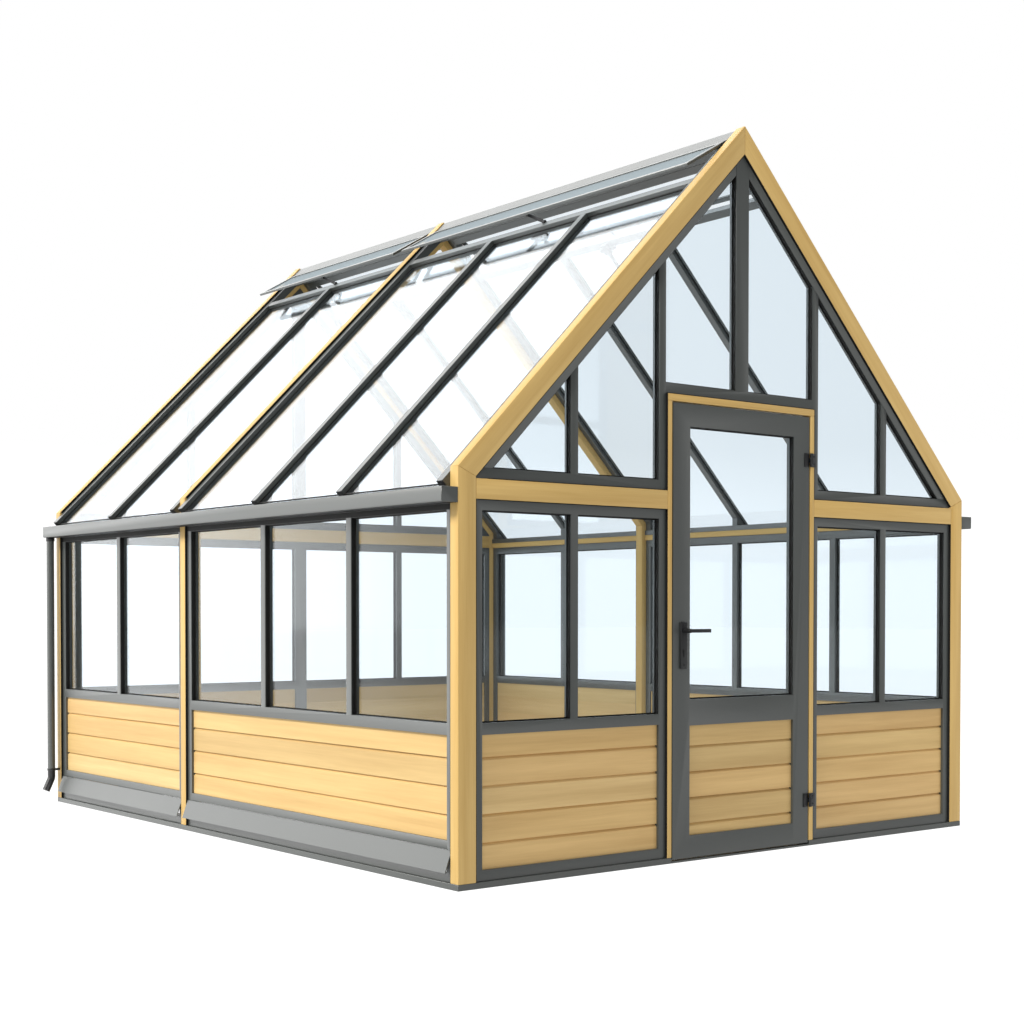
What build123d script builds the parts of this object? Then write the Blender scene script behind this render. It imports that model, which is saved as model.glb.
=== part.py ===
from build123d import *
import os
from math import cos, radians, sin, tan

# Timber-framed greenhouse: three portal frames carry aluminium glazing bars, boarded lower
# walls, a pitched glass roof with ridge vents propped open, and a hinged door in the front gable.
# Millimetres.  X runs across the gable, Y from front to back, Z up.
# The origin is on the ground, under the middle of the whole object.

# --- building ---------------------------------------------------------------------------------
width = 3050.0              # outside of the left posts to outside of the right posts
length = 3670.0             # front of the front portal to back of the back portal
eaves_height = 1580.0       # where the outer face of a post turns into the rafter
roof_pitch = 45.0           # degrees
timber_face = 85.0          # portal timber, seen from the gable
timber_depth = 50.0         # portal timber, along the building
middle_portal = 2188.0      # front of the building to the centre of the middle portal
frame_recess = 12.0         # glazing bars sit back from the timber's outer face
bar_face = 38.0             # glazing bars, seen from outside
bar_depth = 40.0            # glazing bars, through the wall
centre_bar_face = 78.0      # double bar on the gable's centre line
front_bay_panes = 3
back_bay_panes = 2
glass_thickness = 4.0
glass_setback = 22.0        # a bar's outer face to the glass
board_setback = 12.0        # a bar's outer face to the boards
board_thickness = 20.0

# --- heights ----------------------------------------------------------------------------------
plinth_height = 24.0
plinth_width = 60.0
board_bottom = 66.0         # gables: top of the bottom rail
board_top = 576.0           # underside of the sill rail
glass_bottom = 620.0        # top of the sill rail
glass_top = 1421.0          # underside of the top rail
panel_top = 1461.0          # top of the top rail, underside of the tie
tie_top = 1538.0            # top of the tie
eaves_beam_top = 1491.0     # top of the eaves beam, underside of the rail that the roof sits on
gable_rail_top = 1580.0     # top of the rail over the tie
side_board_bottom = 180.0   # sides: top of the rail over the base vent
base_vent_top = 146.0
base_vent_bottom = 62.0
base_vent_reach = 34.0      # lower edge of the flap, out from the face of the bars
base_vent_plate = 4.0
base_vent_gap = 4.0         # flap to the posts

# --- door -------------------------------------------------------------------------------------
leaf_width = 838.0
leaf_bottom = 14.0
leaf_top = 1901.0
leaf_depth = 44.0
leaf_gap = 6.0              # around the leaf
leaf_recess = 2.0           # leaf's face behind the front of the timber
stile_width = 100.0
top_rail_bottom = 1808.0
middle_rail_top = 675.0
middle_rail_bottom = 566.0
bottom_rail_top = 107.0
jamb_face = 25.0            # door post, seen from the front
head_face = 29.0            # timber strip over the door
head_rail_face = 44.0       # rail over that strip
threshold_height = 8.0
hinge_heights = [204.0, 1710.0]
hinge_height = 60.0
hinge_width = 72.0
hinge_plate = 4.0
knuckle_radius = 7.0
knuckle_bore = 4.5
hinge_pin_radius = 4.0
knuckle_clearance = 1.0
hinge_pin_stand = 8.0       # pin's centre line in front of the timber
plate_centre = 60.0         # leaf's free edge to the centre of the handle plate
plate_width = 39.0
plate_height = 196.0
plate_bottom = 803.0
plate_thickness = 8.0
lever_height = 961.0
lever_length = 118.0
lever_stand = 46.0          # leaf's face to the middle of the lever
lever_section = 15.0
lever_neck_radius = 9.0
neck_clearance = 0.5

# --- roof -------------------------------------------------------------------------------------
roof_overhang = 62.0        # glass and bars run on past the eaves, down the slope
vent_hinge_down = 84.0      # apex to the vents' hinge line, down the slope
vent_length = 262.0         # down the slope
vent_opening = 14.5         # degrees lifted from the slope
vent_thickness = 12.0
vent_stand = 0.0            # closed vent stands over the rafters' outer faces
vent_frame_face = 26.0
vent_side_gap = 12.0        # vent to rafter
vent_glass_setback = 5.0
vent_sill_down = 324.0      # apex to the upper edge of the bar under the vents
opener_section = 14.0
bar_foot_width = 40.0       # wedge under a roof bar, on the eaves rail
ridge_cap_leg = 70.0        # each side of the cap, down the slope
ridge_cap_sink = 5.7        # cap's outer face under the rafters' outer faces
ridge_cap_thickness = 3.0
ridge_cap_gap = 2.0         # cap to the edges of the ridge beam
ridge_beam_width = 44.0
ridge_beam_depth = 38.0

# --- gutters ----------------------------------------------------------------------------------
gutter_depth = 76.0         # out from the posts
gutter_top = 1502.0
gutter_bottom = 1444.0
gutter_wall = 3.0
pipe_radius = 20.0
pipe_from_post = 45.0       # post's outer face to the centre of the pipe
pipe_bend_height = 135.0
shoe_length = 75.0
shoe_angle = 25.0           # degrees from upright

# --- derived ----------------------------------------------------------------------------------
slope = radians(roof_pitch)
half = width / 2
apex_height = eaves_height + half * tan(slope)
slope_length = half / cos(slope)
leaf_half = leaf_width / 2
jamb_inner = leaf_half + leaf_gap
jamb_outer = jamb_inner + jamb_face
post_inner = half - timber_face
plinth_inner = half - plinth_width
lever_reach = lever_stand + lever_section / 2 - leaf_recess
front = (lever_reach - length) / 2          # Y of the front of the front portal
back = front + length
portal_fronts = [front, front + middle_portal - timber_depth / 2, back - timber_depth]
bays = [
    (portal_fronts[0] + timber_depth, portal_fronts[1], front_bay_panes),
    (portal_fronts[1] + timber_depth, portal_fronts[2], back_bay_panes),
]


def box(x0, x1, y0, y1, z0, z1):
    """A block between two corners."""
    return Pos((x0 + x1) / 2, (y0 + y1) / 2, (z0 + z1) / 2) * Box(x1 - x0, y1 - y0, z1 - z0)


def prism(points, y0, y1):
    """An outline in the XZ plane, carried from y0 to y1."""
    face = make_face(Polyline(*[(x, y0, z) for x, z in points], close=True))
    return extrude(face, amount=y1 - y0, dir=(0, 1, 0))


def mirrored(shape):
    """The same piece on the other side of the centre line."""
    return mirror(shape, about=Plane.YZ)


def both(*shapes):
    """The pieces on the left, then the same on the right."""
    return list(shapes) + [mirrored(shape) for shape in shapes]


def save(name, solids):
    """Write one node, of one or more solids that do not touch."""
    node = Compound(children=solids) if len(solids) > 1 else solids[0]
    node.label = name
    export_step(node, f"parts/{name}.step")


def save_sides(name, solids):
    """Write a node for the left side and its mirror image for the right."""
    save(f"left_{name}", solids)
    save(f"right_{name}", [mirrored(solid) for solid in solids])


def under_roof(drop, y0, y1):
    """All the space below a surface that lies a given drop under the rafters' outer faces."""
    low = eaves_height - drop / cos(slope)
    peak = apex_height - drop / cos(slope)
    return prism([(-half, 0), (half, 0), (half, low), (0, peak), (-half, low)], y0, y1)


def roof_point(down, drop):
    """X and Z on the left slope, a distance down it and a drop below the rafters' outer faces."""
    return (-down * cos(slope) + drop * sin(slope),
            apex_height - down * sin(slope) - drop * cos(slope))


def roof_line(x, drop):
    """X and Z on the left slope, at a distance from the centre line."""
    return (-x, apex_height - x * tan(slope) - drop / cos(slope))


def roof_block(down0, down1, drop0, drop1, y0, y1):
    """A bar or sheet that lies in the left slope."""
    corners = [(down0, drop0), (down1, drop0), (down1, drop1), (down0, drop1)]
    return prism([roof_point(down, drop) for down, drop in corners], y0, y1)


def pane_gaps(y0, y1, panes):
    """Where the glass of a bay lies between its bars, as pairs of Y."""
    pitch = (y1 - y0 - bar_face) / panes
    return [(y0 + bar_face + i * pitch, y0 + (i + 1) * pitch) for i in range(panes)]


os.makedirs("parts", exist_ok=True)

# --- plinth -----------------------------------------------------------------------------------
front_plinth = box(-plinth_inner, -jamb_inner, front, front + plinth_width, 0, plinth_height)
save("plinth_sides", both(box(-half, -plinth_inner, front, back, 0, plinth_height)))
back_plinth = box(-plinth_inner, plinth_inner, back - plinth_width, back, 0, plinth_height)
save("plinth_ends", both(front_plinth) + [back_plinth])
save("door_threshold", [box(-jamb_inner, jamb_inner, front, front + plinth_width,
                            0, threshold_height)])

# --- portal frames ----------------------------------------------------------------------------
mitre_height = eaves_height + timber_face * tan(slope) - timber_face / cos(slope)
inner_apex = apex_height - timber_face / cos(slope)
post_outline = [
    (-half, plinth_height),
    (-post_inner, plinth_height),
    (-post_inner, mitre_height),
    (-half, eaves_height),
]
rafter_outline = [
    (-half, eaves_height),
    (-post_inner, mitre_height),
    (0, inner_apex),
    (0, apex_height),
]
posts = [prism(post_outline, y, y + timber_depth) for y in portal_fronts]
rafters = [prism(rafter_outline, y, y + timber_depth) for y in portal_fronts]
save_sides("posts", posts)
save_sides("rafters", rafters)

# --- eaves beams, ridge beams, ties and the door's frame --------------------------------------
bar_drop = frame_recess
bar_underside = frame_recess + bar_depth
beam_outer = half - frame_recess
beam_inner = beam_outer - timber_depth
eaves_rail_top = eaves_height + frame_recess * tan(slope) - bar_underside / cos(slope)
beam_half = ridge_beam_width / 2
cap_underside = apex_height - (ridge_cap_sink + ridge_cap_thickness) / cos(slope)
ridge_beam_top = cap_underside - beam_half * tan(slope) - ridge_cap_gap
head_bottom = leaf_top + leaf_gap
head_top = head_bottom + head_face
front_timber = (front, front + timber_depth)
back_timber = (back - timber_depth, back)
save("eaves_beams", both(*[box(-beam_outer, -beam_inner, y0, y1, panel_top, eaves_beam_top)
                           for y0, y1, panes in bays]))
save("ridge_beams", [box(-beam_half, beam_half, y0, y1,
                         ridge_beam_top - ridge_beam_depth, ridge_beam_top)
                     for y0, y1, panes in bays])
front_tie = (box(-post_inner, -jamb_outer, *front_timber, panel_top, tie_top)
             & under_roof(timber_face, *front_timber))
back_tie = (box(-post_inner, post_inner, *back_timber, panel_top, tie_top)
            & under_roof(timber_face, *back_timber))
save("gable_ties", both(front_tie) + [back_tie])
save("door_jambs", both(box(-jamb_outer, -jamb_inner, *front_timber,
                            plinth_height, head_bottom)))
save("door_head", [box(-jamb_outer, jamb_outer, *front_timber, head_bottom, head_top)])


# --- gables -----------------------------------------------------------------------------------
def make_gable(name, face_y, inward, doorway):
    """Bars, rails, boards and glass of one gable, from its outer face inwards.

    The raked bars under its rafters are handed back, as both gables' share a node.
    """

    def layer(setback, thickness):
        """Y of the two faces of a layer that lies behind the gable's outer face."""
        near = face_y + inward * (frame_recess + setback)
        return tuple(sorted((near, near + inward * thickness)))

    frame = layer(0, bar_depth)
    pane = layer(glass_setback, glass_thickness)
    board = layer(board_setback, board_thickness)
    rake_drop = timber_face + bar_face
    below_rafters = under_roof(timber_face, *frame)
    below_rakes = under_roof(rake_drop, *frame)
    glass_zone = under_roof(rake_drop, *pane)
    centre = centre_bar_face / 2
    outer = -post_inner + bar_face
    inner = -jamb_outer - bar_face if doorway else -centre
    mullion = ((outer + inner - bar_face) / 2, (outer + inner + bar_face) / 2)
    centre_sill = head_top + head_rail_face if doorway else tie_top
    rows = [(plinth_height, board_bottom), (board_top, glass_bottom), (glass_top, panel_top)]

    bars = both(
        box(-post_inner, outer, *frame, plinth_height, panel_top),
        box(*mullion, *frame, glass_bottom, glass_top),
        box(*mullion, *frame, gable_rail_top, apex_height) & below_rakes,
    )
    bars.append(box(-centre, centre, *frame, centre_sill, apex_height) & below_rafters)
    rails = both(*[box(outer, inner, *frame, z0, z1) for z0, z1 in rows])
    rails += both(box(-post_inner, inner, *frame, tie_top, gable_rail_top) & below_rafters)
    raked = both((below_rafters - below_rakes)
                 & box(-half, -centre, *frame, gable_rail_top, apex_height))
    boards = both(box(outer, inner, *board, board_bottom, board_top))
    glass = both(
        box(outer, mullion[0], *pane, glass_bottom, glass_top),
        box(mullion[1], inner, *pane, glass_bottom, glass_top),
        box(-half, mullion[0], *pane, gable_rail_top, apex_height) & glass_zone,
        box(mullion[1], inner, *pane, gable_rail_top, apex_height) & glass_zone,
    )
    if doorway:
        bars += both(box(inner, -jamb_outer, *frame, plinth_height, panel_top),
                     box(inner, -jamb_outer, *frame, tie_top, apex_height) & below_rakes)
        rails.append(box(-jamb_outer, jamb_outer, *frame, head_top, centre_sill))
        glass += both(box(-jamb_outer, -centre, *pane, centre_sill, apex_height) & glass_zone)
    else:
        bars.append(box(-centre, centre, *frame, plinth_height, panel_top))

    save(f"{name}_bars", bars)
    save(f"{name}_rails", rails)
    save(f"{name}_boards", boards)
    save(f"{name}_glass", glass)
    return raked


save("raked_bars", make_gable("front", front, 1, doorway=True)
     + make_gable("back", back, -1, doorway=False))

# --- side walls -------------------------------------------------------------------------------
bar_outer = half - frame_recess
bar_inner = bar_outer - bar_depth
pane_outer = bar_outer - glass_setback
board_outer = bar_outer - board_setback
side_rows = [
    (plinth_height, base_vent_bottom),
    (base_vent_top, side_board_bottom),
    (board_top, glass_bottom),
    (glass_top, panel_top),
]
side_bars, side_rails, side_boards, side_glass, flaps = [], [], [], [], []
for y0, y1, panes in bays:
    gaps = pane_gaps(y0, y1, panes)
    inner0, inner1 = y0 + bar_face, y1 - bar_face
    side_bars += [box(-bar_outer, -bar_inner, y0, inner0, plinth_height, panel_top),
                  box(-bar_outer, -bar_inner, inner1, y1, plinth_height, panel_top)]
    side_bars += [box(-bar_outer, -bar_inner, before[1], after[0], glass_bottom, glass_top)
                  for before, after in zip(gaps, gaps[1:])]
    side_rails += [box(-bar_outer, -bar_inner, inner0, inner1, z0, z1) for z0, z1 in side_rows]
    side_boards.append(box(-board_outer, -board_outer + board_thickness, inner0, inner1,
                           side_board_bottom, board_top))
    side_glass += [box(-pane_outer, -pane_outer + glass_thickness, *gap,
                       glass_bottom, glass_top) for gap in gaps]
    flap_outline = [
        (-bar_outer, base_vent_top),
        (-bar_outer - base_vent_plate, base_vent_top),
        (-bar_outer - base_vent_reach, base_vent_bottom),
        (-bar_outer - base_vent_reach + base_vent_plate, base_vent_bottom),
        (-bar_outer, base_vent_top - base_vent_plate),
    ]
    flaps.append(prism(flap_outline, y0 + base_vent_gap, y1 - base_vent_gap))
save_sides("bars", side_bars)
save_sides("rails", side_rails)
save_sides("boards", side_boards)
save_sides("glass", side_glass)
save("base_vent_flaps", both(*flaps))

# --- roof -------------------------------------------------------------------------------------
eaves_down = slope_length + roof_overhang
sill_bottom = vent_sill_down + bar_face
pane_drop = bar_drop + glass_setback


def roof_bar(top_outer, top_inner, y0, y1):
    """A glazing bar down the left slope, from its two upper corners."""
    outline = [
        top_outer,
        roof_point(eaves_down, bar_drop),
        roof_point(eaves_down, bar_underside),
        top_inner,
    ]
    return prism(outline, y0, y1)


ridge_ends = (roof_line(beam_half, bar_drop), roof_line(beam_half, bar_underside))
sill_ends = (roof_point(sill_bottom, bar_drop), roof_point(sill_bottom, bar_underside))
foot_outline = [
    (-beam_outer, eaves_rail_top),
    (-beam_outer + bar_foot_width, eaves_rail_top),
    roof_line(beam_outer - bar_foot_width, bar_underside),
]
roof_bars, roof_feet, roof_glass, roof_rails = [], [], [], []
for y0, y1, panes in bays:
    gaps = pane_gaps(y0, y1, panes)
    inner0, inner1 = y0 + bar_face, y1 - bar_face
    roof_bars += [roof_bar(*ridge_ends, y0, inner0), roof_bar(*ridge_ends, inner1, y1)]
    roof_feet += [prism(foot_outline, y0, inner0), prism(foot_outline, inner1, y1)]
    for before, after in zip(gaps, gaps[1:]):
        roof_bars.append(roof_bar(*sill_ends, before[1], after[0]))
        roof_feet.append(prism(foot_outline, before[1], after[0]))
    roof_rails += [roof_block(down, down + bar_face, bar_drop, bar_underside, inner0, inner1)
                   for down in (vent_hinge_down, vent_sill_down)]
    roof_rails.append(box(-beam_outer, -beam_inner, y0, y1, eaves_beam_top, eaves_rail_top))
    roof_glass += [roof_block(sill_bottom, eaves_down, pane_drop, pane_drop + glass_thickness,
                              *gap) for gap in gaps]
save_sides("roof_bars", roof_bars)
save_sides("roof_rails", roof_rails)
save_sides("roof_glass", roof_glass)
save("roof_bar_feet", both(*roof_feet))

cap_outline = [
    (0, apex_height - ridge_cap_sink / cos(slope)),
    roof_point(ridge_cap_leg, ridge_cap_sink),
    roof_point(ridge_cap_leg, ridge_cap_sink + ridge_cap_thickness),
    (0, cap_underside),
]
save("ridge_caps", both(*[prism(cap_outline, y0, y1) for y0, y1, panes in bays]))

# --- roof vents, held open --------------------------------------------------------------------
vent_slope = slope - radians(vent_opening)
hinge_x, hinge_z = roof_point(vent_hinge_down, -vent_stand)


def vent_point(along, depth):
    """X and Z on a left vent: a distance down from its hinge and a depth under its outer face."""
    return (hinge_x - along * cos(vent_slope) + depth * sin(vent_slope),
            hinge_z - along * sin(vent_slope) - depth * cos(vent_slope))


def vent_block(along0, along1, depth0, depth1, y0, y1):
    """A rail, stile or sheet of a left vent."""
    corners = [(along0, depth0), (along1, depth0), (along1, depth1), (along0, depth1)]
    return prism([vent_point(along, depth) for along, depth in corners], y0, y1)


vent_rails, vent_stiles, vent_glass, openers = [], [], [], []
for y0, y1, panes in bays:
    start, end = y0 + vent_side_gap, y1 - vent_side_gap
    low_rail = vent_length - vent_frame_face
    vent_rails += [vent_block(0, vent_frame_face, 0, vent_thickness, start, end),
                   vent_block(low_rail, vent_length, 0, vent_thickness, start, end)]
    vent_stiles += [vent_block(vent_frame_face, low_rail, 0, vent_thickness,
                               start, start + vent_frame_face),
                    vent_block(vent_frame_face, low_rail, 0, vent_thickness,
                               end - vent_frame_face, end)]
    vent_glass.append(vent_block(vent_frame_face, low_rail, vent_glass_setback,
                                 vent_glass_setback + glass_thickness,
                                 start + vent_frame_face, end - vent_frame_face))
    middle = (y0 + y1) / 2
    arm_outline = [
        roof_point(vent_sill_down, bar_drop),
        roof_point(vent_sill_down + opener_section, bar_drop),
        vent_point(low_rail + opener_section, vent_thickness),
        vent_point(low_rail, vent_thickness),
    ]
    openers.append(prism(arm_outline, middle - opener_section / 2, middle + opener_section / 2))
save("vent_rails", both(*vent_rails))
save("vent_stiles", both(*vent_stiles))
save("vent_glass", both(*vent_glass))
save("vent_openers", both(*openers))

# --- gutters and downpipes --------------------------------------------------------------------
gutter_outer = half + gutter_depth
trough = box(-gutter_outer, -half, front, back, gutter_bottom, gutter_top)
trough -= box(-gutter_outer + gutter_wall, -half - gutter_wall, front + gutter_wall,
              back - gutter_wall, gutter_bottom + gutter_wall, gutter_top)
save_sides("gutter", [trough])

pipe_x = -half - pipe_from_post
pipe_y = back - timber_depth / 2
shoe_turn = radians(shoe_angle)
shoe_tip = (pipe_x - shoe_length * sin(shoe_turn), pipe_y,
            pipe_bend_height - shoe_length * cos(shoe_turn))
pipe_path = FilletPolyline((pipe_x, pipe_y, gutter_bottom), (pipe_x, pipe_y, pipe_bend_height),
                           shoe_tip, radius=2 * pipe_radius)
pipe_start = Plane(origin=(pipe_x, pipe_y, gutter_bottom), z_dir=(0, 0, -1))
pipe = sweep(pipe_start * Circle(pipe_radius), path=pipe_path)
save("downpipes", both(pipe))

# --- door leaf --------------------------------------------------------------------------------
leaf_face = front + leaf_recess
leaf_layer = (leaf_face, leaf_face + leaf_depth)
leaf_inner = leaf_half - stile_width
leaf_rows = [(leaf_bottom, bottom_rail_top), (middle_rail_bottom, middle_rail_top),
             (top_rail_bottom, leaf_top)]
board_layer = (leaf_face + board_setback, leaf_face + board_setback + board_thickness)
pane_layer = (leaf_face + glass_setback, leaf_face + glass_setback + glass_thickness)
save("door_stiles", both(box(-leaf_half, -leaf_inner, *leaf_layer, leaf_bottom, leaf_top)))
save("door_rails", [box(-leaf_inner, leaf_inner, *leaf_layer, z0, z1) for z0, z1 in leaf_rows])
save("door_boards", [box(-leaf_inner, leaf_inner, *board_layer,
                         bottom_rail_top, middle_rail_bottom)])
save("door_glass", [box(-leaf_inner, leaf_inner, *pane_layer,
                        middle_rail_top, top_rail_bottom)])

# --- hinges -----------------------------------------------------------------------------------
pin_x = leaf_half + leaf_gap / 2
pin_y = front - hinge_pin_stand
segment = (hinge_height - 2 * knuckle_clearance) / 3
arm_reach = knuckle_radius + knuckle_clearance


def knuckle(bottom, height, radius, bore=0.0):
    """One round of a hinge on the pin's line."""
    ring = Pos(pin_x, pin_y, bottom + height / 2) * Cylinder(radius, height)
    if bore:
        ring -= Pos(pin_x, pin_y, bottom + height / 2) * Cylinder(bore, 2 * height)
    return ring


frame_hinges, leaf_hinges = [], []
for centre in hinge_heights:
    low = centre - hinge_height / 2
    top = centre + hinge_height / 2
    jamb_plate = (front - hinge_plate, front)
    fixed = box(pin_x + arm_reach, pin_x + hinge_width / 2, *jamb_plate, low, top)
    for z in (low, top - segment):
        fixed += box(pin_x, pin_x + arm_reach, *jamb_plate, z, z + segment)
        fixed += knuckle(z, segment, knuckle_radius)
    fixed += knuckle(low, hinge_height, hinge_pin_radius)
    frame_hinges.append(fixed)

    door_plate = (leaf_face - hinge_plate, leaf_face)
    middle = centre - segment / 2
    moving = box(pin_x - hinge_width / 2, pin_x - arm_reach, *door_plate, low, top)
    moving += box(pin_x - arm_reach, pin_x, *door_plate, middle, middle + segment)
    moving += knuckle(middle, segment, knuckle_radius)
    moving -= knuckle(middle - segment, 3 * segment, knuckle_bore)
    leaf_hinges.append(moving)
save("frame_hinges", frame_hinges)
save("leaf_hinges", leaf_hinges)

# --- handle: a plate and a lever on each face of the leaf -------------------------------------
spindle_x = -leaf_half + plate_centre
plates, levers = [], []
for face, outward in [(leaf_face, -1), (leaf_face + leaf_depth, 1)]:
    near, far = sorted((face, face + outward * plate_thickness))
    plates.append(box(spindle_x - plate_width / 2, spindle_x + plate_width / 2, near, far,
                      plate_bottom, plate_bottom + plate_height))
    root = face + outward * (plate_thickness + neck_clearance)
    grip_y = face + outward * lever_stand
    neck = Pos(spindle_x, (root + grip_y) / 2, lever_height) * Rot(90, 0, 0) * Cylinder(
        lever_neck_radius, abs(grip_y - root))
    grip = box(spindle_x - lever_section / 2, spindle_x + lever_length - lever_section / 2,
               grip_y - lever_section / 2, grip_y + lever_section / 2,
               lever_height - lever_section / 2, lever_height + lever_section / 2)
    levers.append(neck + grip)
save("handle_plates", plates)
save("handle_levers", levers)
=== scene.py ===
import random
from math import cos, pi, radians

import bmesh
import bpy
from mathutils import Matrix, Vector


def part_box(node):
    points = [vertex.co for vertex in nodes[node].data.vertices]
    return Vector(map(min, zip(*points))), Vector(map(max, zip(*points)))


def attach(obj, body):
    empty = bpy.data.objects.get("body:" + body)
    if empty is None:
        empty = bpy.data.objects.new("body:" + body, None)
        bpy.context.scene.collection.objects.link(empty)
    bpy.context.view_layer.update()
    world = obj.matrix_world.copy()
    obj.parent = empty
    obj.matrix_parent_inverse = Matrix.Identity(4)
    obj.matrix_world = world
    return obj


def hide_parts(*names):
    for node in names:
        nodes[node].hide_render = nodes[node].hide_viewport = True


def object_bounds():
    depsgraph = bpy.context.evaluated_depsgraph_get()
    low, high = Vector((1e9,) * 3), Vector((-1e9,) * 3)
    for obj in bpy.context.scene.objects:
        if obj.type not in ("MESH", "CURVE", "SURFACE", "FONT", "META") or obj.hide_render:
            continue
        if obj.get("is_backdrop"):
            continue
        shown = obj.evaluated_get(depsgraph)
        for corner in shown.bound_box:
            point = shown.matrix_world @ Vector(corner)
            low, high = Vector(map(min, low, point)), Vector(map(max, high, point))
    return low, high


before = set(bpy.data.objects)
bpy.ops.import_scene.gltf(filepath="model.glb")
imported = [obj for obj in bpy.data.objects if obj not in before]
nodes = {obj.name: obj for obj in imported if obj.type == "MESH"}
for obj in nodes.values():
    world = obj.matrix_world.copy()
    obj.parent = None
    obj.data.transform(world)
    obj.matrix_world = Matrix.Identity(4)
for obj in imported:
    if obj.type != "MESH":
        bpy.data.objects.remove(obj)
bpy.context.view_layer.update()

print("frame loaded:", len(nodes), "nodes")


def deselectAll():
    if bpy.context.object and bpy.context.object.mode != "OBJECT":
        bpy.ops.object.mode_set(mode="OBJECT")
    for thing in bpy.context.selected_objects:
        thing.select_set(False)


def pick(*pieces):
    # the last piece named is the active one
    deselectAll()
    for piece in pieces:
        piece.select_set(True)
    bpy.context.view_layer.objects.active = pieces[-1]


def editMode(kind="FACE"):
    bpy.ops.object.mode_set(mode="EDIT")
    bpy.ops.mesh.select_mode(type=kind)


def objectMode():
    bpy.ops.object.mode_set(mode="OBJECT")


def selectWhere(piece, kind, test):
    # in edit mode: selects the faces, edges or verts for which test is true
    bpy.ops.mesh.select_mode(type=kind)
    shape = bmesh.from_edit_mesh(piece.data)
    for part in (*shape.verts, *shape.edges, *shape.faces):
        part.select = False
    shape.select_flush(False)
    group = {"FACE": shape.faces, "EDGE": shape.edges, "VERT": shape.verts}[kind]
    found = 0
    for part in group:
        if test(part):
            part.select_set(True)
            found += 1
    bmesh.update_edit_mesh(piece.data)
    return found


def middleOf(edge):
    return (edge.verts[0].co + edge.verts[1].co) / 2


def runOf(edge):
    return (edge.verts[1].co - edge.verts[0].co).normalized()


def addBlock(name, low, high):
    # a cube primitive at its size and place, with its place in its mesh
    deselectAll()
    low, high = Vector(low), Vector(high)
    bpy.ops.mesh.primitive_cube_add(size=1, location=(low + high) / 2)
    piece = bpy.context.object
    piece.name = name
    piece.scale = high - low
    settle(piece)
    return piece


def addRod(name, centre, radius, depth, axis="Z", sides=24):
    deselectAll()
    turn = {"X": (0, pi / 2, 0), "Y": (pi / 2, 0, 0), "Z": (0, 0, 0)}[axis]
    bpy.ops.mesh.primitive_cylinder_add(vertices=sides, radius=radius, depth=depth,
                                        location=centre, rotation=turn)
    piece = bpy.context.object
    piece.name = name
    settle(piece)
    return piece


def settle(piece):
    pick(piece)
    bpy.ops.object.transform_apply(location=True, rotation=True, scale=True)


def copyOf(piece, name, move=(0, 0, 0), matrix=None):
    # a copy with its own mesh
    twin = bpy.data.objects.new(name, piece.data.copy())
    bpy.context.scene.collection.objects.link(twin)
    twin.data.transform(matrix or Matrix.Translation(Vector(move)))
    if matrix and matrix.determinant() < 0:
        twin.data.flip_normals()
    return twin


def joined(name, pieces):
    pick(*pieces)
    if len(pieces) > 1:
        bpy.ops.object.join()
    piece = bpy.context.object
    piece.name = name
    piece.data.name = name
    return piece


def wholeFaces(piece):
    # joins loose triangles into whole flat faces
    pick(piece)
    editMode()
    bpy.ops.mesh.select_all(action="SELECT")
    bpy.ops.mesh.remove_doubles(threshold=0.00002)
    bpy.ops.mesh.dissolve_limited(angle_limit=radians(0.5))
    objectMode()


def merged(name, *nodeNames):
    # a copy of CAD nodes as one mesh of whole faces, ready to be shaped
    parts = [copyOf(nodes[n], name) for n in nodeNames]
    piece = joined(name, parts)
    piece.data.materials.clear()
    wholeFaces(piece)
    return piece


def useModifier(piece, kind, **settings):
    pick(piece)
    modifier = piece.modifiers.new(kind.title(), kind)
    for key, value in settings.items():
        setattr(modifier, key, value)
    bpy.ops.object.modifier_apply(modifier=modifier.name)


def softened(piece, edge, segments=2, angle=30):
    useModifier(piece, "BEVEL", width=edge, segments=segments, limit_method="ANGLE",
                angle_limit=radians(angle), use_clamp_overlap=True)
    smooth(piece)
    return piece


def welded(name, *nodeNames):
    # CAD nodes that butt together, made one piece with no joint lines
    piece = merged(name, nodeNames[0])
    for other in nodeNames[1:]:
        mate = merged(name + "Mate", other)
        useModifier(piece, "BOOLEAN", operation="UNION", solver="EXACT", object=mate)
        bpy.data.objects.remove(mate)
    wholeFaces(piece)
    return piece


def smooth(piece, angle=38):
    pick(piece)
    bpy.ops.object.shade_smooth_by_angle(angle=radians(angle))


# the frame's own lines, in metres; "down" is measured down the slope from the apex
house = {
    "front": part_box("left_posts")[0][1],
    "back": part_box("left_posts")[1][1],
    "half": 1.525,
    "postInner": 1.440,
    "jamb": 0.450,
    "portalDepth": 0.050,
    "recess": 0.012,
    "barFace": 0.038,
    "plinth": 0.024,
    "tie": (1.461, 1.538),
    "head": (1.907, 1.936),
    "apex": 3.105,
    "timberFace": 0.085,
    "middlePortal": 2.163,       # front of the house to the front of the middle portal
    "eavesDown": 2.2187,
    "sillDown": 0.324,
}
front, back = house["front"], house["back"]
middleFront = front + house["middlePortal"]
bays = [                         # front, back and number of panes
    (front + house["portalDepth"], middleFront, 3),
    (middleFront + house["portalDepth"], back - house["portalDepth"], 2),
]
leftSlope = Matrix.Translation((0, 0, house["apex"])) @ Matrix.Rotation(-pi / 4, 4, "Y")
mirrorX = Matrix.Scale(-1, 4, (1, 0, 0))


def barRuns(y0, y1, panes):
    # the Y of every bar of a bay
    face = house["barFace"]
    pitch = (y1 - y0 - face) / panes
    return [(y0 + i * pitch, y0 + i * pitch + face) for i in range(panes + 1)]


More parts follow.
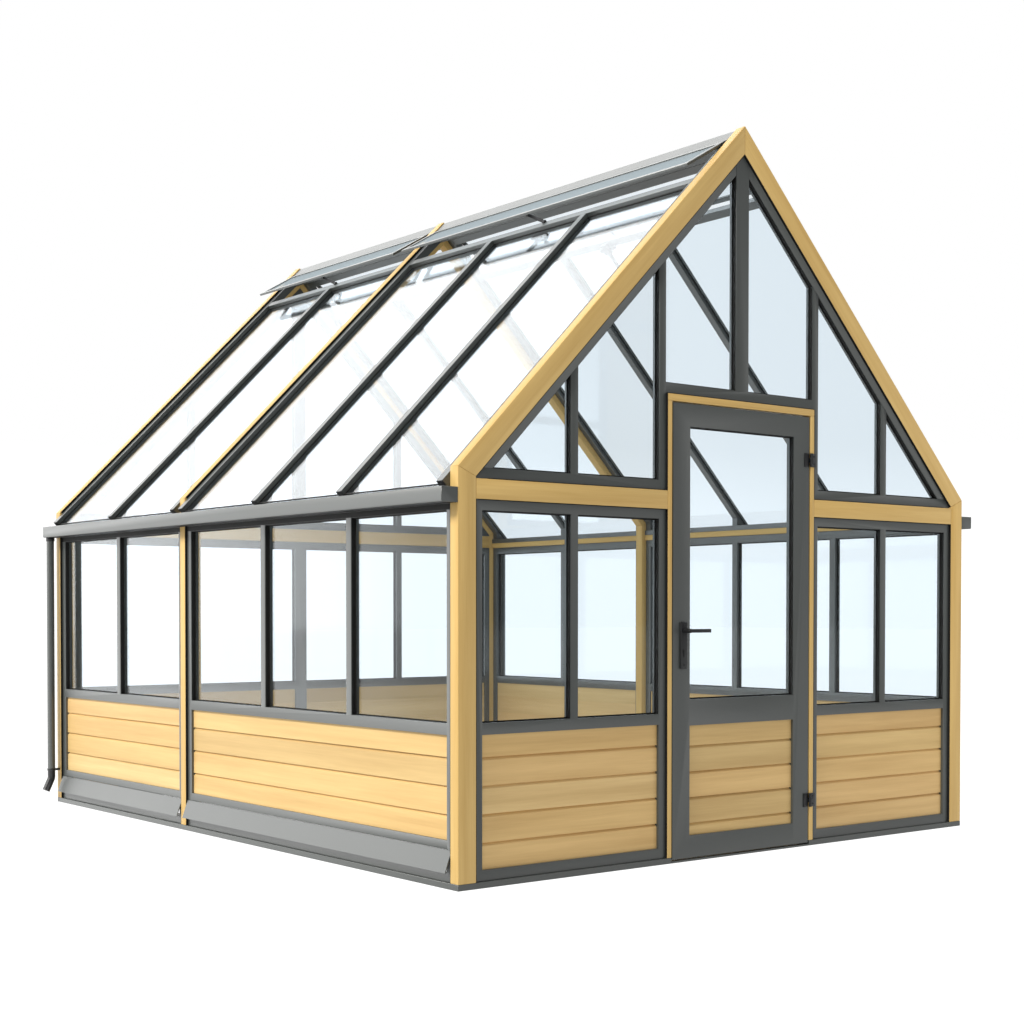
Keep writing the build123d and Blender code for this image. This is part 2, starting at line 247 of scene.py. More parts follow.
def slopeBlock(name, down, along, drop):
    # a block that lies in the left slope: down from the apex, along Y, drop under the rafters
    piece = addBlock(name, (-down[1], along[0], -drop[1]), (-down[0], along[1], -drop[0]))
    piece.data.transform(leftSlope)
    return piece


def bothSides(pieces):
    return pieces + [copyOf(piece, piece.name, matrix=mirrorX) for piece in pieces]


def finished(piece, body, finish, slot=None, *stoodFor):
    piece.data.materials.clear()
    piece.data.materials.append(finish)
    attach(piece, body)
    if stoodFor:
        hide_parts(*stoodFor)
    return piece


class Wire:
    # a socket that takes part in sums; each sum adds its Math node
    def __init__(self, tree, socket=None):
        self.tree = tree
        self.socket = socket

    def make(self, kind, settings=None, sockets=None, output=0):
        node = self.tree.nodes.new(kind)
        for key, value in (settings or {}).items():
            if key == "stops":
                ramp = node.color_ramp
                for i, (place, shade) in enumerate(value):
                    stop = ramp.elements[i] if i < 2 else ramp.elements.new(place)
                    stop.position = place
                    stop.color = (*shade, 1) if len(shade) == 3 else shade
            else:
                setattr(node, key, value)
        for key, value in (sockets or {}).items():
            if isinstance(value, Wire):
                self.tree.links.new(value.socket, node.inputs[key])
            else:
                node.inputs[key].default_value = value
        return Wire(self.tree, node.outputs[output]) if node.outputs else None

    def sum(self, operation, first, second):
        return self.make("ShaderNodeMath", {"operation": operation}, {0: first, 1: second})

    def __add__(self, other):
        return self.sum("ADD", self, other)

    __radd__ = __add__

    def __sub__(self, other):
        return self.sum("SUBTRACT", self, other)

    def __rsub__(self, other):
        return self.sum("SUBTRACT", other, self)

    def __mul__(self, other):
        return self.sum("MULTIPLY", self, other)

    __rmul__ = __mul__

    def clamped(self):
        return self.make("ShaderNodeClamp", None, {0: self})

    def noise(self, at, scale, detail=3.0, rough=0.5):
        return self.make("ShaderNodeTexNoise", None, {
            "Vector": at, "Scale": scale, "Detail": detail, "Roughness": rough})

    def stretched(self, at, scale, turn=(0, 0, 0)):
        return self.make("ShaderNodeMapping", None, {"Vector": at, "Scale": scale, "Rotation": turn})

    def ramp(self, *stops):
        return self.make("ShaderNodeValToRGB", {"stops": stops}, {0: self})

    def between(self, first, second):
        # this wire's value blends two colours
        return self.make("ShaderNodeMix", {"data_type": "RGBA"},
                         {0: self, 6: first, 7: second}, output=2)

    def tinted(self, shade):
        # multiplies a colour by a grey value
        return self.make("ShaderNodeMix", {"data_type": "RGBA", "blend_type": "MULTIPLY"},
                         {0: 1.0, 6: self, 7: shade}, output=2)

    def bump(self, strength, distance):
        return self.make("ShaderNodeBump", None, {
            "Height": self, "Strength": strength, "Distance": distance})


def newFinish(name):
    finish = bpy.data.materials.new(name)
    finish.use_nodes = True
    tree = finish.node_tree
    tree.nodes.clear()
    start = Wire(tree)
    place = start.make("ShaderNodeTexCoord", output="Object")
    return finish, start, place


def surface(start, settings, normal=None):
    # the shader itself, joined to the output
    sockets = dict(settings)
    if normal is not None:
        sockets["Normal"] = normal
    shader = start.make("ShaderNodeBsdfPrincipled", None, sockets)
    start.make("ShaderNodeOutputMaterial", None, {"Surface": shader})
    return shader


def rgb(*values):
    # sRGB in 0-255 to the linear numbers that sockets take
    made = [v / 255 for v in values]
    return (*[v / 12.92 if v <= 0.04045 else ((v + 0.055) / 1.055) ** 2.4 for v in made], 1)


timber = {
    "light": (216, 184, 118),
    "dark": (188, 151, 84),
    "roughness": 0.5,
    "grain": (1.1, 26, 26),      # streaks per metre: along, across, across
    "fibre": (7, 300, 300),
    "broad": (0.45, 3.2, 3.2),
}


def timberFinish(name, turn, look=timber, boards=False):
    # turn brings the grain's run to local X; boards each take their own tone and stretch of grain
    finish, start, place = newFinish(name)
    along = start.stretched(place, (1, 1, 1), turn=turn)
    if boards:
        tone = start.make("ShaderNodeAttribute", {"attribute_name": "boardTone"}, output="Fac")
        apart = start.make("ShaderNodeCombineXYZ", None, {
            0: tone * 37.0, 1: tone * 11.0, 2: tone * 5.0})
        along = start.make("ShaderNodeVectorMath", {"operation": "ADD"}, {0: along, 1: apart})
    streak = start.noise(start.stretched(along, look["grain"]), 1.0, 4.0, 0.55)
    fibre = start.noise(start.stretched(along, look["fibre"]), 1.0, 2.0, 0.6)
    broad = start.noise(start.stretched(along, look["broad"]), 1.0, 2.0)
    mix = (streak * 1.5 + fibre * 0.35 + broad * 0.7 - 0.78).clamped()
    shade = mix.between(rgb(*look["dark"]), rgb(*look["light"]))
    if boards:
        shade = tone.ramp(*look["tones"]).tinted(shade)
    rough = streak * 0.16 + (look["roughness"] - 0.08)
    surface(start, {"Base Color": shade, "Roughness": rough, "Specular IOR Level": 0.35},
            (fibre * 0.6 + streak * 0.4).bump(0.22, 0.0006))
    return finish


cladding = {
    "light": (225, 197, 140),
    "dark": (190, 158, 103),
    "roughness": 0.55,
    "grain": (0.9, 20, 20),
    "fibre": (6, 280, 280),
    "broad": (0.45, 3.2, 3.2),
    "tones": [(0.0, (0.86, 0.84, 0.80)), (0.35, (1.0, 0.95, 0.86)), (0.7, (1.0, 0.93, 0.90)),
              (1.0, (1.0, 1.0, 1.0))],
}


def paintFinish(name, shade, roughness, mottle=0.12, texture=0.10, gloss=0.5):
    # powder coat or plastic: a fine texture and a slight unevenness
    finish, start, place = newFinish(name)
    cloud = start.noise(place, 2.3, 3.0)
    fine = start.noise(place, 900.0, 2.0)
    tone = cloud * mottle + (1 - mottle / 2)
    colour = start.make("ShaderNodeCombineColor", None, {0: tone, 1: tone, 2: tone}).tinted(
        rgb(*shade))
    surface(start, {"Base Color": colour, "Roughness": cloud * 0.1 + (roughness - 0.05),
                    "Specular IOR Level": gloss}, fine.bump(texture, 0.0002))
    return finish


glassLook = {
    "passes": (0.925, 0.953, 0.971),
    "film": (252, 254, 255),
    "mirror": 1.0,               # how far the film is a mirror, or a plain haze
    "headOn": 0.02,              # share mirrored when seen square on
    "slant": (0.42, 0.74),       # facing values over which the mirror comes up
    "edgeOn": 0.19,              # share mirrored past them, at each face of the pane
    "shade": 0.40,               # share of lamp light that each face holds back
}


# the vents' film is a plain blue-grey haze with no mirror, rising at grazing angles: a painted
# reflection in place of the glass's own
ventPaintedReflection = {                     # the vents lie almost edge-on to a standing viewer
    **glassLook,
    "film": (172, 184, 191),
    "mirror": 0.0,
    "slant": (0.70, 0.86),
    "edgeOn": 0.50,
}


def glassFinish(name, look):
    finish, start, place = newFinish(name)
    clear = start.make("ShaderNodeBsdfTransparent", None, {"Color": (*look["passes"], 1)})
    ripple = start.noise(place, 1.4, 2.0).bump(0.008, 0.01)
    film = start.make("ShaderNodeBsdfPrincipled", None, {
        "Base Color": rgb(*look["film"]), "Roughness": 0.05,
        "Metallic": look["mirror"], "Specular IOR Level": 0.0, "Normal": ripple})
    facing = start.make("ShaderNodeLayerWeight", None, {"Blend": 0.5}, output="Facing")
    low, high = look["slant"]
    rise = ((facing - low) * (1 / (high - low))).clamped()
    lampRay = start.make("ShaderNodeLightPath", output="Is Shadow Ray")
    share = (rise * look["edgeOn"] + lampRay * look["shade"] + look["headOn"]).clamped()
    mixed = start.make("ShaderNodeMixShader", None, {0: share, 1: clear, 2: film})
    start.make("ShaderNodeOutputMaterial", None, {"Surface": mixed})
    return finish


slope = pi / 4
upright = timberFinish("timberUpright", (0, pi / 2, 0))
acrossX = timberFinish("timberAcross", (0, 0, 0))
alongY = timberFinish("timberAlong", (0, 0, pi / 2))
rakeLeft = timberFinish("timberRakeLeft", (0, slope, 0))
rakeRight = timberFinish("timberRakeRight", (0, -slope, 0))
boardsX = timberFinish("claddingAcross", (0, 0, 0), cladding, boards=True)
boardsY = timberFinish("claddingAlong", (0, 0, pi / 2), cladding, boards=True)
greyPaint = paintFinish("greyPowderCoat", (63, 67, 65), 0.40, gloss=1.0)
blackPaint = paintFinish("blackSatin", (26, 27, 29), 0.38, texture=0.16)
rubber = paintFinish("blackRubber", (20, 20, 19), 0.66, mottle=0.3, texture=0.1, gloss=0.25)
glazing = glassFinish("clearGlass", glassLook)
ventGlazing = glassFinish("ventGlass", ventPaintedReflection)
print("finishes made")


# timber frame: the frame's own shapes with their edges eased
timberEdge = 0.0025
timberParts = [
    ("leftPosts", "left_posts", upright), ("rightPosts", "right_posts", upright),
    ("leftRafters", "left_rafters", rakeLeft), ("rightRafters", "right_rafters", rakeRight),
    ("gableTies", "gable_ties", acrossX), ("eavesBeams", "eaves_beams", alongY),
    ("doorJambs", "door_jambs", upright), ("doorHead", "door_head", acrossX),
]
for name, node, finish in timberParts:
    piece = softened(merged(name, node), timberEdge)
    finished(piece, "building", finish, "timber", node)
print("timber frame shaped")


# grey metal: each wall's bars and rails as one frame, with small edges
metalEdge = 0.0012
metalParts = [
    ("frontFrame", "building", "front_bars", "front_rails"),
    ("backFrame", "building", "back_bars", "back_rails"),
    ("rakedBars", "building", "raked_bars"),
    ("leftFrame", "building", "left_bars", "left_rails"),
    ("rightFrame", "building", "right_bars", "right_rails"),
    ("leftRoofFrame", "building", "left_roof_bars", "left_roof_rails"),
    ("rightRoofFrame", "building", "right_roof_bars", "right_roof_rails"),
    ("roofFeet", "building", "roof_bar_feet"),
    ("ridgeBeams", "building", "ridge_beams"),
    ("ridgeCaps", "building", "ridge_caps"),
    ("plinth", "building", "plinth_sides", "plinth_ends"),
    ("doorThreshold", "building", "door_threshold"),
    ("baseVentFlaps", "building", "base_vent_flaps"),
    ("ventFrames", "building", "vent_stiles", "vent_rails"),
    ("doorFrame", "door", "door_stiles", "door_rails"),
]
for name, body, *stoodFor in metalParts:
    if name.endswith("RoofFrame"):               # bars and rails that butt, each a whole solid
        piece = joined(name, [merged(name, node) for node in stoodFor])
    else:
        piece = welded(name, *stoodFor)
    if name == "ridgeCaps":                      # the two leaves meet at the ridge with no wall between
        editMode()
        selectWhere(piece, "FACE", lambda f: all(abs(v.co.x) < 0.0001 for v in f.verts))
        bpy.ops.mesh.delete(type="FACE")
        objectMode()
    softened(piece, metalEdge, segments=1)
    finished(piece, body, greyPaint, "grey_metal", *stoodFor)
print("metal frames shaped")


# overlapping boards: one is shaped, then laid in courses and trimmed to its panel
boarding = {
    "pitch": 0.108,
    "gap": 0.003,
    "chamfer": 0.010,
    "depth": 0.020,
    "topCourse": 0.084,          # what shows of the top board
    "edge": 0.0006,
    "gable": (0.066, 0.576),     # bottom and top of each kind of panel
    "side": (0.180, 0.576),
    "door": (0.107, 0.566),
    "setback": 0.024,            # face of the boards behind the front of the timber
}
frontFace, backFace = front + boarding["setback"], back - boarding["setback"]
panels = [
    # name, node, body, turn, centre x, centre y of the face, run, bottom and top
    ("frontLeftBoards", "front_boards", "building", 0, -0.945, frontFace, 0.914, boarding["gable"]),
    ("frontRightBoards", "front_boards", "building", 0, 0.945, frontFace, 0.914, boarding["gable"]),
    ("backLeftBoards", "back_boards", "building", 180, -0.7205, backFace, 1.363, boarding["gable"]),
    ("backRightBoards", "back_boards", "building", 180, 0.7205, backFace, 1.363, boarding["gable"]),
    ("doorBoardCourses", "door_boards", "door", 0, 0, front + 0.014, 0.638, boarding["door"]),
]
for y0, y1, panes in bays:
    tail = "Front" if panes == 3 else "Rear"
    run = y1 - y0 - 2 * house["barFace"]
    sideFace = house["half"] - boarding["setback"]
    for side, turn, x in (("left", -90, -sideFace), ("right", 90, sideFace)):
        panels.append((side + tail + "Boards", side + "_boards", "building", turn, x, (y0 + y1) / 2,
                       run, boarding["side"]))


def shapeBoard(run):
    # lies along X with its face at y = 0, its lower edge at z = 0
    tall = boarding["pitch"] - boarding["gap"]
    piece = addBlock("board", (-run / 2, 0, 0), (run / 2, boarding["depth"], tall))
    editMode("EDGE")
    selectWhere(piece, "EDGE", lambda e: abs(runOf(e).x) > 0.9 and middleOf(e).z > tall - 0.001
                and middleOf(e).y < 0.001)
    bpy.ops.mesh.bevel(offset=boarding["chamfer"], segments=1, affect="EDGES")
    selectWhere(piece, "FACE", lambda f: f.normal.z > 0.9)
    bpy.ops.mesh.extrude_region_move(TRANSFORM_OT_translate={"value": (0, 0, boarding["gap"])})
    selectWhere(piece, "EDGE", lambda e: abs(runOf(e).x) > 0.9 and middleOf(e).y < 0.001)
    bpy.ops.mesh.bevel(offset=boarding["edge"], segments=1, affect="EDGES")
    objectMode()
    return piece


random.seed(11)
for name, node, body, turn, x, y, run, (bottom, top) in panels:
    pattern = shapeBoard(run)
    courses = []
    level = top - boarding["topCourse"]
    while level + boarding["pitch"] > bottom:
        board = copyOf(pattern, name, move=(0, 0, level))
        tone = board.data.attributes.new("boardTone", "FLOAT", "POINT")
        shade = random.random()
        for i in range(len(board.data.vertices)):
            tone.data[i].value = shade
        courses.append(board)
        level -= boarding["pitch"]
    bpy.data.objects.remove(pattern)
    piece = joined(name, courses)
    for cut, away in ((bottom, (0, 0, -1)), (top, (0, 0, 1))):
        editMode()
        bpy.ops.mesh.select_all(action="SELECT")
        bpy.ops.mesh.bisect(plane_co=(0, 0, cut), plane_no=away, clear_outer=True, use_fill=True)
        objectMode()
    piece.data.transform(Matrix.Translation((x, y, 0)) @ Matrix.Rotation(radians(turn), 4, "Z"))
    finished(piece, body, boardsY if abs(turn) == 90 else boardsX, "cladding", node)
print("boards laid:", len(panels), "panels")


# black linings on the returns between each upright pane and the face of its bars, and a bead
# round the edge of every pane
lining = {
    "width": 0.0025,
    "reach": 0.018,
    "beadWidth": 0.006,
    "beadReach": 0.003,
    "sills": (0.620, 0.675, 1.580, 1.980),       # heights where panes stand on a rail
    "sillReach": 0.0015,
}
outOf = {
    "front_glass": (0, -1, 0), "back_glass": (0, 1, 0), "left_glass": (-1, 0, 0),
    "right_glass": (1, 0, 0), "door_glass": (0, -1, 0),
    "left_roof_glass": (-cos(pi / 4), 0, cos(pi / 4)),
    "right_roof_glass": (cos(pi / 4), 0, cos(pi / 4)),
}


def paneRings(name, node, outward, width, reach, bareSill=False):
    # a ring round each pane, standing out from the glass
    outward = Vector(outward)
    piece = merged(name, node)
    editMode("FACE")
    selectWhere(piece, "FACE", lambda f: f.normal.dot(outward) < 0.99)
    bpy.ops.mesh.delete(type="FACE")
    bpy.ops.mesh.select_all(action="SELECT")
    bpy.ops.mesh.inset(thickness=width, use_individual=True, use_boundary=True)
    bpy.ops.mesh.delete(type="FACE")
    if bareSill:
        selectWhere(piece, "FACE", lambda f: any(
            abs(f.calc_center_median().z - sill) < lining["sillReach"] for sill in lining["sills"]))
        bpy.ops.mesh.delete(type="FACE")
    objectMode()
    useModifier(piece, "SOLIDIFY", thickness=reach, offset=1.0)
    return piece


for node, outward in outOf.items():
    body = "door" if node == "door_glass" else "building"
    stem = node.title().replace("_", "")
    if "roof" not in node:
        ring = paneRings("lining" + stem, node, outward, lining["width"], lining["reach"],
                         bareSill=True)
        finished(ring, body, rubber, "black_fittings")
    bead = paneRings("bead" + stem, node, outward, lining["beadWidth"], lining["beadReach"])
    finished(bead, body, rubber, "black_fittings")
print("linings and beads made")


# black seals in the step between the timber's face and the grey bars, and under the gutters a black
# strip that is painted shade, the gutters' shadow on the top rails
seal = {
    "thick": 0.002,
    "near": 0.0006,              # how far the strips stay behind the timber's face
    "tieStart": 0.06,            # the rafter covers the tie's upper side up to here
    "rakeRun": (0.085, 2.121),   # down the slope, on the gables' rafters
    "roofRun": (0.074, 2.150),   # down the slope, beside the roof bars
    "sideTop": 1.560,
    "gutterShadeRun": (1.4212, 1.4436),
}


def portalSeals(faceY, inward, doorway):
    # the strips of one gable, on the timber's inner sides
    depth = sorted((faceY + inward * seal["near"], faceY + inward * house["recess"]))
    low, high = house["tie"]
    thick, inner, jamb = seal["thick"], house["postInner"], house["jamb"]
    edges = [((-inner, house["plinth"]), (-inner + thick, low))]
    tieEnd = -jamb if doorway else 0.0
    edges += [((-inner, low - thick), (tieEnd, low)),
              ((-inner + seal["tieStart"], high), (tieEnd, high + thick))]
    if doorway:
        edges += [((-jamb - thick, house["plinth"]), (-jamb, low)),
                  ((-jamb - thick, high), (-jamb, house["head"][1])),
                  ((-jamb, house["head"][1]), (0, house["head"][1] + thick))]
    strips = [addBlock("seal", (a[0], depth[0], a[1]), (b[0], depth[1], b[1])) for a, b in edges]
    face = house["timberFace"]
    strips.append(slopeBlock("seal", seal["rakeRun"], depth, (face, face + thick)))
    return bothSides(strips)


strips = portalSeals(front, 1, True) + portalSeals(back, -1, False)
sideStrips = []
barsX = -house["half"] + house["recess"]
for y0, y1, panes in bays:
    # a black strip under each gutter: painted shade where the gutter shades the side's top rail
    low, high = seal["gutterShadeRun"]
    sideStrips.append(addBlock("seal", (barsX - seal["thick"], y0, low), (barsX, y1, high)))
    for start in (y0, y1 - seal["thick"]):
        end = start + seal["thick"]
        sideStrips.append(addBlock("seal", (-house["half"] + seal["near"], start, house["plinth"]),
                                   (barsX, end, seal["sideTop"])))
        sideStrips.append(slopeBlock("seal", seal["roofRun"], (start, end),
                                     (seal["near"], house["recess"])))
strips += bothSides(sideStrips)
timberSealsAndGutterShade = softened(joined("timberSealsAndGutterShade", strips), 0.0004, segments=1)
finished(timberSealsAndGutterShade, "building", rubber, "black_fittings")
print("timber seals laid")


# black caps on the lower ends of the roof bars
endCap = {"thick": 0.003, "edge": 0.0008, "drop": (0.012, 0.052)}
caps = []
for y0, y1, panes in bays:
    for run in barRuns(y0, y1, panes):
        down = (house["eavesDown"], house["eavesDown"] + endCap["thick"])
        caps.append(slopeBlock("cap", down, run, endCap["drop"]))
roofBarCaps = softened(joined("roofBarCaps", bothSides(caps)), endCap["edge"], segments=1)
finished(roofBarCaps, "building", blackPaint, "black_fittings")


# gutters: grey outside with a rounded lower corner, and painted shade underneath: the downward faces
# are painted black
gutter = {"bottom": 1.444, "reach": 0.076, "corner": 0.006, "edge": 0.0015}
for side, node in (("left", "left_gutter"), ("right", "right_gutter")):
    piece = merged(side + "Gutter", node)
    editMode("EDGE")
    outerX = house["half"] + gutter["reach"]
    selectWhere(piece, "EDGE", lambda e: abs(runOf(e).y) > 0.9
                and middleOf(e).z < gutter["bottom"] + 0.0005 and abs(middleOf(e).x) > outerX - 0.001)
    bpy.ops.mesh.bevel(offset=gutter["corner"], segments=3, affect="EDGES")
    objectMode()
    softened(piece, gutter["edge"], segments=1, angle=50)
    editMode()
    bpy.ops.mesh.select_all(action="SELECT")
    bpy.ops.mesh.dissolve_degenerate(threshold=0.00001)
    objectMode()
    finished(piece, "building", greyPaint, "grey_metal", node)
    # the gutter's downward faces take the black rubber finish, a painted shade under the gutter
    piece.data.materials.append(rubber)
    for face in piece.data.polygons:
        if face.normal.z < -0.8 and face.center.z < gutter["bottom"] + 0.002:
            face.material_index = 1
print("gutters and caps made")


# downpipes: grey, with a collar under the gutter and a black clip and shoe at the foot
pipe = {
    "out": 0.045,                # wall's face to the pipe's centre line
    "inset": 0.025,              # back of the house to the centre line
    "shoeTop": 0.175,
    "clip": (0.175, 0.187, 0.0225),      # bottom, top and radius
    "collar": (1.424, 1.444, 0.0230),
    "lugReach": 0.028,
    "lugHalf": (0.010, 0.006),
}
pipeY = back - pipe["inset"]
for side, sign in (("left", -1), ("right", 1)):
    piece = merged(side + "Downpipe", "downpipes")
    editMode()
    selectWhere(piece, "FACE", lambda f: f.calc_center_median().x * sign < 0)
    bpy.ops.mesh.delete(type="FACE")
    bpy.ops.mesh.select_all(action="SELECT")
    bpy.ops.mesh.bisect(plane_co=(0, 0, pipe["shoeTop"]), plane_no=(0, 0, 1))
    objectMode()
    smooth(piece)
    finished(piece, "building", greyPaint, "grey_metal", "downpipes")
    piece.data.materials.append(blackPaint)
    for face in piece.data.polygons:
        face.material_index = 1 if face.center.z < pipe["shoeTop"] else 0
    x = sign * (house["half"] + pipe["out"])
    fittings = []
    for low, high, radius in (pipe["clip"], pipe["collar"]):
        ring = addRod("ring", (x, pipeY, (low + high) / 2), radius, high - low, sides=40)
        editMode("EDGE")
        selectWhere(ring, "EDGE", lambda e: abs(runOf(e).z) < 0.1)
        bpy.ops.mesh.bevel(offset=0.0015, segments=2, affect="EDGES")
        objectMode()
        fittings.append(ring)
    inner, outer = sorted((sign * house["half"], sign * (house["half"] + pipe["lugReach"])))
    level = (pipe["clip"][0] + pipe["clip"][1]) / 2
    wide, tall = pipe["lugHalf"]
    lug = addBlock("lug", (inner, pipeY - wide, level - tall), (outer, pipeY + wide, level + tall))
    fittings.append(softened(lug, 0.001))
    collar = joined(side + "PipeFittings", fittings)
    smooth(collar)
    finished(collar, "building", blackPaint, "black_fittings")
print("downpipes made")


# vent openers: a recessed arm from the vent's lower rail to a dark body under the sill bar
opener = {
    "arm": (0.016, 0.004),       # width and thickness
    "lean": 0.045,               # each end of the arm from the bay's middle
    "vent": (-0.2530, 2.9120),   # x and z of the arm's two ends
    "foot": (-0.2262, 2.8660),
    "body": 0.110,
}


def strut(name, start, end, width, thick):
    # a flat bar between two points, its width kept near upright
    start, end = Vector(start), Vector(end)
    run = end - start
    piece = addBlock(name, (0, -thick / 2, -width / 2), (run.length, thick / 2, width / 2))
    editMode("FACE")
    selectWhere(piece, "FACE", lambda f: abs(f.normal.y) > 0.9)
    bpy.ops.mesh.inset(thickness=0.0045, depth=-0.0008, use_individual=True)
    objectMode()
    piece.data.transform(Matrix.Translation(start) @ run.to_track_quat("X", "Z").to_matrix().to_4x4())
    return piece


arms = []
for y0, y1, panes in bays:
    middle = (y0 + y1) / 2
    top = (opener["vent"][0], middle + opener["lean"], opener["vent"][1])
    foot = (opener["foot"][0], middle - opener["lean"], opener["foot"][1])
    arm = strut("arm", foot, top, *opener["arm"])
    pin = addRod("pin", foot, 0.008, 0.018, axis="Y", sides=20)
    hook = addRod("pin", top, 0.007, 0.016, axis="Y", sides=20)
    sill = house["sillDown"] + house["barFace"]
    block = slopeBlock("body", (sill - 0.030, sill + 0.026), (middle - 0.020, middle + 0.020),
                       (0.052, 0.078))
    cross = slopeBlock("body", (sill - 0.006, sill + 0.012),
                       (middle - opener["body"] / 2, middle + opener["body"] / 2), (0.052, 0.066))
    rod = slopeBlock("body", (sill + 0.020, sill + 0.120), (middle - 0.009, middle + 0.009),
                     (0.056, 0.074))
    for part in (block, cross, pin, hook, arm):
        softened(part, 0.0015, segments=1)
    softened(rod, 0.006, segments=3)
    arms += [arm, pin, hook, block, cross, rod]
ventArms = joined("ventArms", bothSides(arms))
smooth(ventArms)
finished(ventArms, "building", blackPaint, "black_fittings", "vent_openers")
print("vent openers made")


# door furniture: rounded plates and levers, key cylinders, hinges with screws
furniture = {
    "plateEdge": 0.004,
    "leverEdge": 0.005,
    "screw": 0.0042,
    "plateScrews": (0.820, 0.982),
    "cylinder": 0.875,           # height of the key cylinder's round end
    "hinges": (0.204, 1.710),
    "hingeScrews": (-0.018, 0.018),
}
spindleX, leafFace = -0.359, front + 0.002
plates = softened(merged("handlePlates", "handle_plates"), furniture["plateEdge"], segments=3)
extras = []
for face, outward in ((leafFace - 0.008, -1), (leafFace + 0.052, 1)):
    barrel = addRod("barrel", (spindleX, face + outward * 0.0015, furniture["cylinder"]),
                    0.0085, 0.005, "Y", 32)
    slot = addBlock("barrel", (spindleX - 0.005, face + min(0, outward * 0.003), 0.852),
                    (spindleX + 0.005, face + max(0, outward * 0.003), 0.872))
    keyway = addBlock("barrel", (spindleX - 0.0012, face + min(0, outward * 0.0045), 0.868),
                      (spindleX + 0.0012, face + max(0, outward * 0.0045), 0.881))
    for level in furniture["plateScrews"]:
        extras.append(softened(addRod("screw", (spindleX, face + outward * 0.0008, level),
                                      furniture["screw"], 0.0028, "Y", 24), 0.0006, segments=1))
    extras += [softened(barrel, 0.0008), softened(slot, 0.0008), keyway]
plates = joined("handlePlates", [*extras, plates])
smooth(plates)
finished(plates, "door", blackPaint, "black_fittings", "handle_plates")
levers = softened(merged("handleLevers", "handle_levers"), furniture["leverEdge"], segments=4)
finished(levers, "handle", blackPaint, "black_fittings", "handle_levers")

for name, node, body, x, face in (("frameHinges", "frame_hinges", "building", 0.445, front - 0.004),
                                  ("leafHinges", "leaf_hinges", "door", 0.399, leafFace - 0.004)):
    parts = [softened(merged(name, node), 0.0010)]
    for level in furniture["hinges"]:
        for offset in furniture["hingeScrews"]:
            screw = addRod("screw", (x, face - 0.0005, level + offset), furniture["screw"], 0.0022,
                           "Y", 24)
            parts.append(softened(screw, 0.0006, segments=1))
    piece = joined(name, parts[1:] + parts[:1])
    smooth(piece)
    finished(piece, body, blackPaint, "black_fittings", node)
print("door furniture made")

for name in nodes:
    if name.endswith("glass"):
        nodes[name].data.materials.clear()
        nodes[name].data.materials.append(ventGlazing if name == "vent_glass" else glazing)


# floor, light and camera
studio = {
    "floor": ((120, 121, 122), (126, 127, 128)),
    "floorGlow": 0.78,
    "skyShade": 0.52,            # taken off the sky as it lights dull surfaces
    "behind": 2.7,               # reflections are bright from behind the house, dim from in front
    "horizon": 0.17,             # a lighter band behind the lower windows
    "sun": 3.5,
    "fill": 27,
}
deselectAll()
bpy.ops.mesh.primitive_plane_add(size=1, location=(0, 0, 0))
floor = bpy.context.object
floor.name = "studioFloor"
floor.scale = (160, 160, 1)
settle(floor)
pale, start, place = newFinish("paleFloor")
seen = start.make("ShaderNodeLightPath", output="Is Camera Ray")
glossy = start.make("ShaderNodeLightPath", output="Is Glossy Ray")
rearward = ((start.make("ShaderNodeSeparateXYZ", None, {0: place}, output=1) + 2.0) * 0.3).clamped()
glowing = glossy * (rearward * 1.5 - 0.3) + seen * 0.25 + 1.0
surface(start, {"Base Color": start.noise(place, 0.3).between(*[rgb(*c) for c in studio["floor"]]),
                "Roughness": 0.9, "Specular IOR Level": 0.0,
                "Emission Color": start.make("ShaderNodeCombineColor", None,
                                             {0: glowing, 1: glowing, 2: glowing}),
                "Emission Strength": studio["floorGlow"]})
floor.data.materials.append(pale)
floor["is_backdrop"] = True

world = bpy.data.worlds.new("studioSky")
world.use_nodes = True
world.node_tree.nodes.clear()
sky = Wire(world.node_tree)
diffuse = sky.make("ShaderNodeLightPath", output="Is Diffuse Ray")
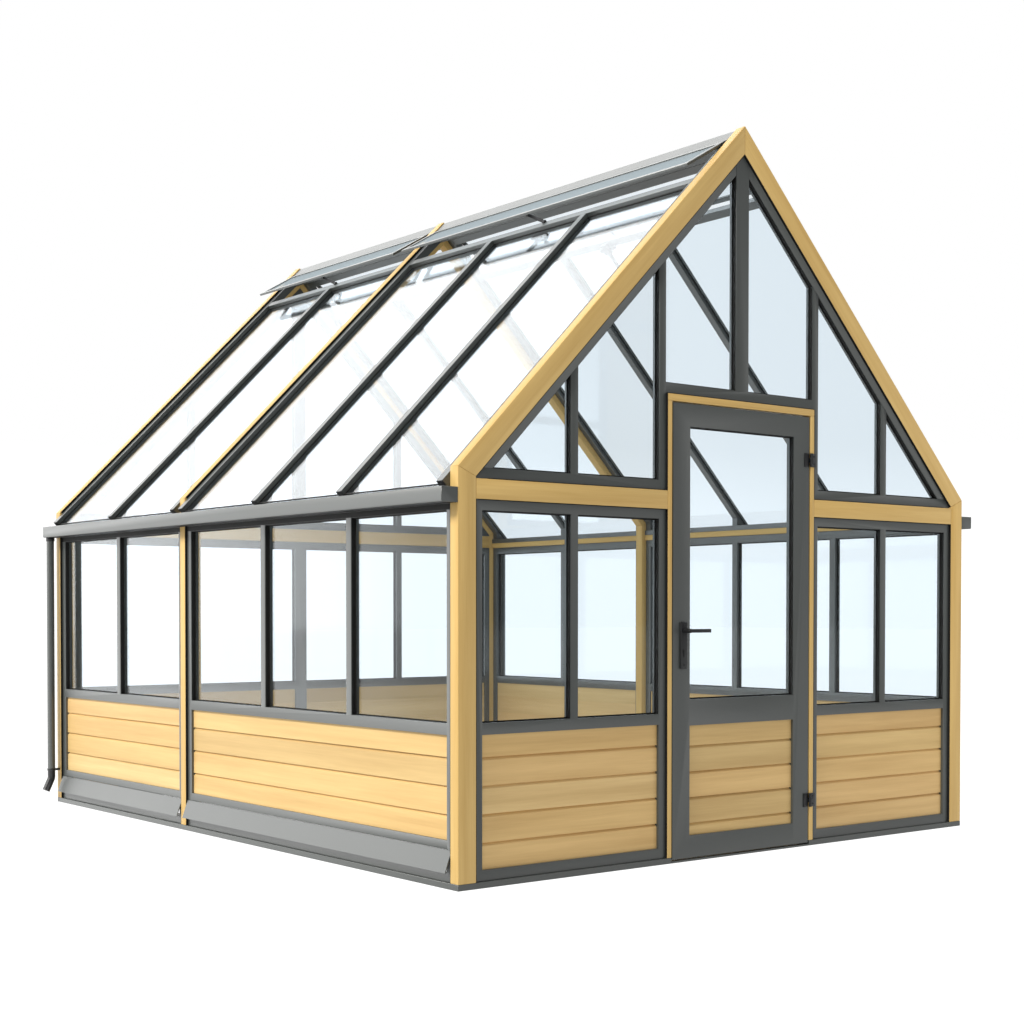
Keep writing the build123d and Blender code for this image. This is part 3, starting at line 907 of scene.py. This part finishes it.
mirror = sky.make("ShaderNodeLightPath", output="Is Glossy Ray")
seen = sky.make("ShaderNodeLightPath", output="Is Camera Ray")
aim = sky.make("ShaderNodeTexCoord", output="Generated")
heading = sky.make("ShaderNodeSeparateXYZ", None, {0: aim}, output=1)
lift = sky.make("ShaderNodeSeparateXYZ", None, {0: aim}, output=2)
horizon = ((0.10 - lift) * 16.0).clamped()
behind = ((heading + 0.45) * 1.1).clamped()
glow = sky.make("ShaderNodeBackground", None, {
    "Color": (1, 1, 1, 1),
    "Strength": 1.0 - diffuse * studio["skyShade"] + mirror * (behind * studio["behind"] - 0.75)
    + seen * horizon * studio["horizon"]})
sky.make("ShaderNodeOutputWorld", None, {"Surface": glow})
bpy.context.scene.world = world

keyLamp = bpy.data.lights.new("keyLamp", "SUN")
keyLamp.energy = studio["sun"]
keyLamp.angle = radians(18)
keyLamp.color = (1.0, 0.97, 0.92)
key = bpy.data.objects.new("keyLamp", keyLamp)
key.rotation_euler = Vector((0.765, 0.03, -0.645)).to_track_quat("-Z", "Y").to_euler()
bpy.context.scene.collection.objects.link(key)

fillLamp = bpy.data.lights.new("fillLamp", "AREA")
fillLamp.shape = "DISK"
fillLamp.size = 2.2
fillLamp.energy = studio["fill"]
fill = bpy.data.objects.new("fillLamp", fillLamp)
fill.location = (3.4, -4.0, 1.7)
fill.rotation_euler = Vector((-1.9, 2.2, -0.2)).to_track_quat("-Z", "Y").to_euler()
fill.visible_glossy = False                      # no glint of it on the door's metal
bpy.context.scene.collection.objects.link(fill)

cameraData = bpy.data.cameras.new("camera")
cameraData.lens = 57.15
cameraData.sensor_width = 36
cameraData.shift_x = 0.0205
cameraData.shift_y = 0.131
cameraData.clip_end = 400
camera = bpy.data.objects.new("camera", cameraData)
camera.location = (-5.1295, -6.6259, 1.0361)
camera.rotation_euler = (radians(90 - 1.18), 0, -radians(37.97))
bpy.context.scene.collection.objects.link(camera)
bpy.context.scene.camera = camera
bpy.context.scene.view_settings.view_transform = "Standard"
print("floor, light and camera set")

low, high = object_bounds()
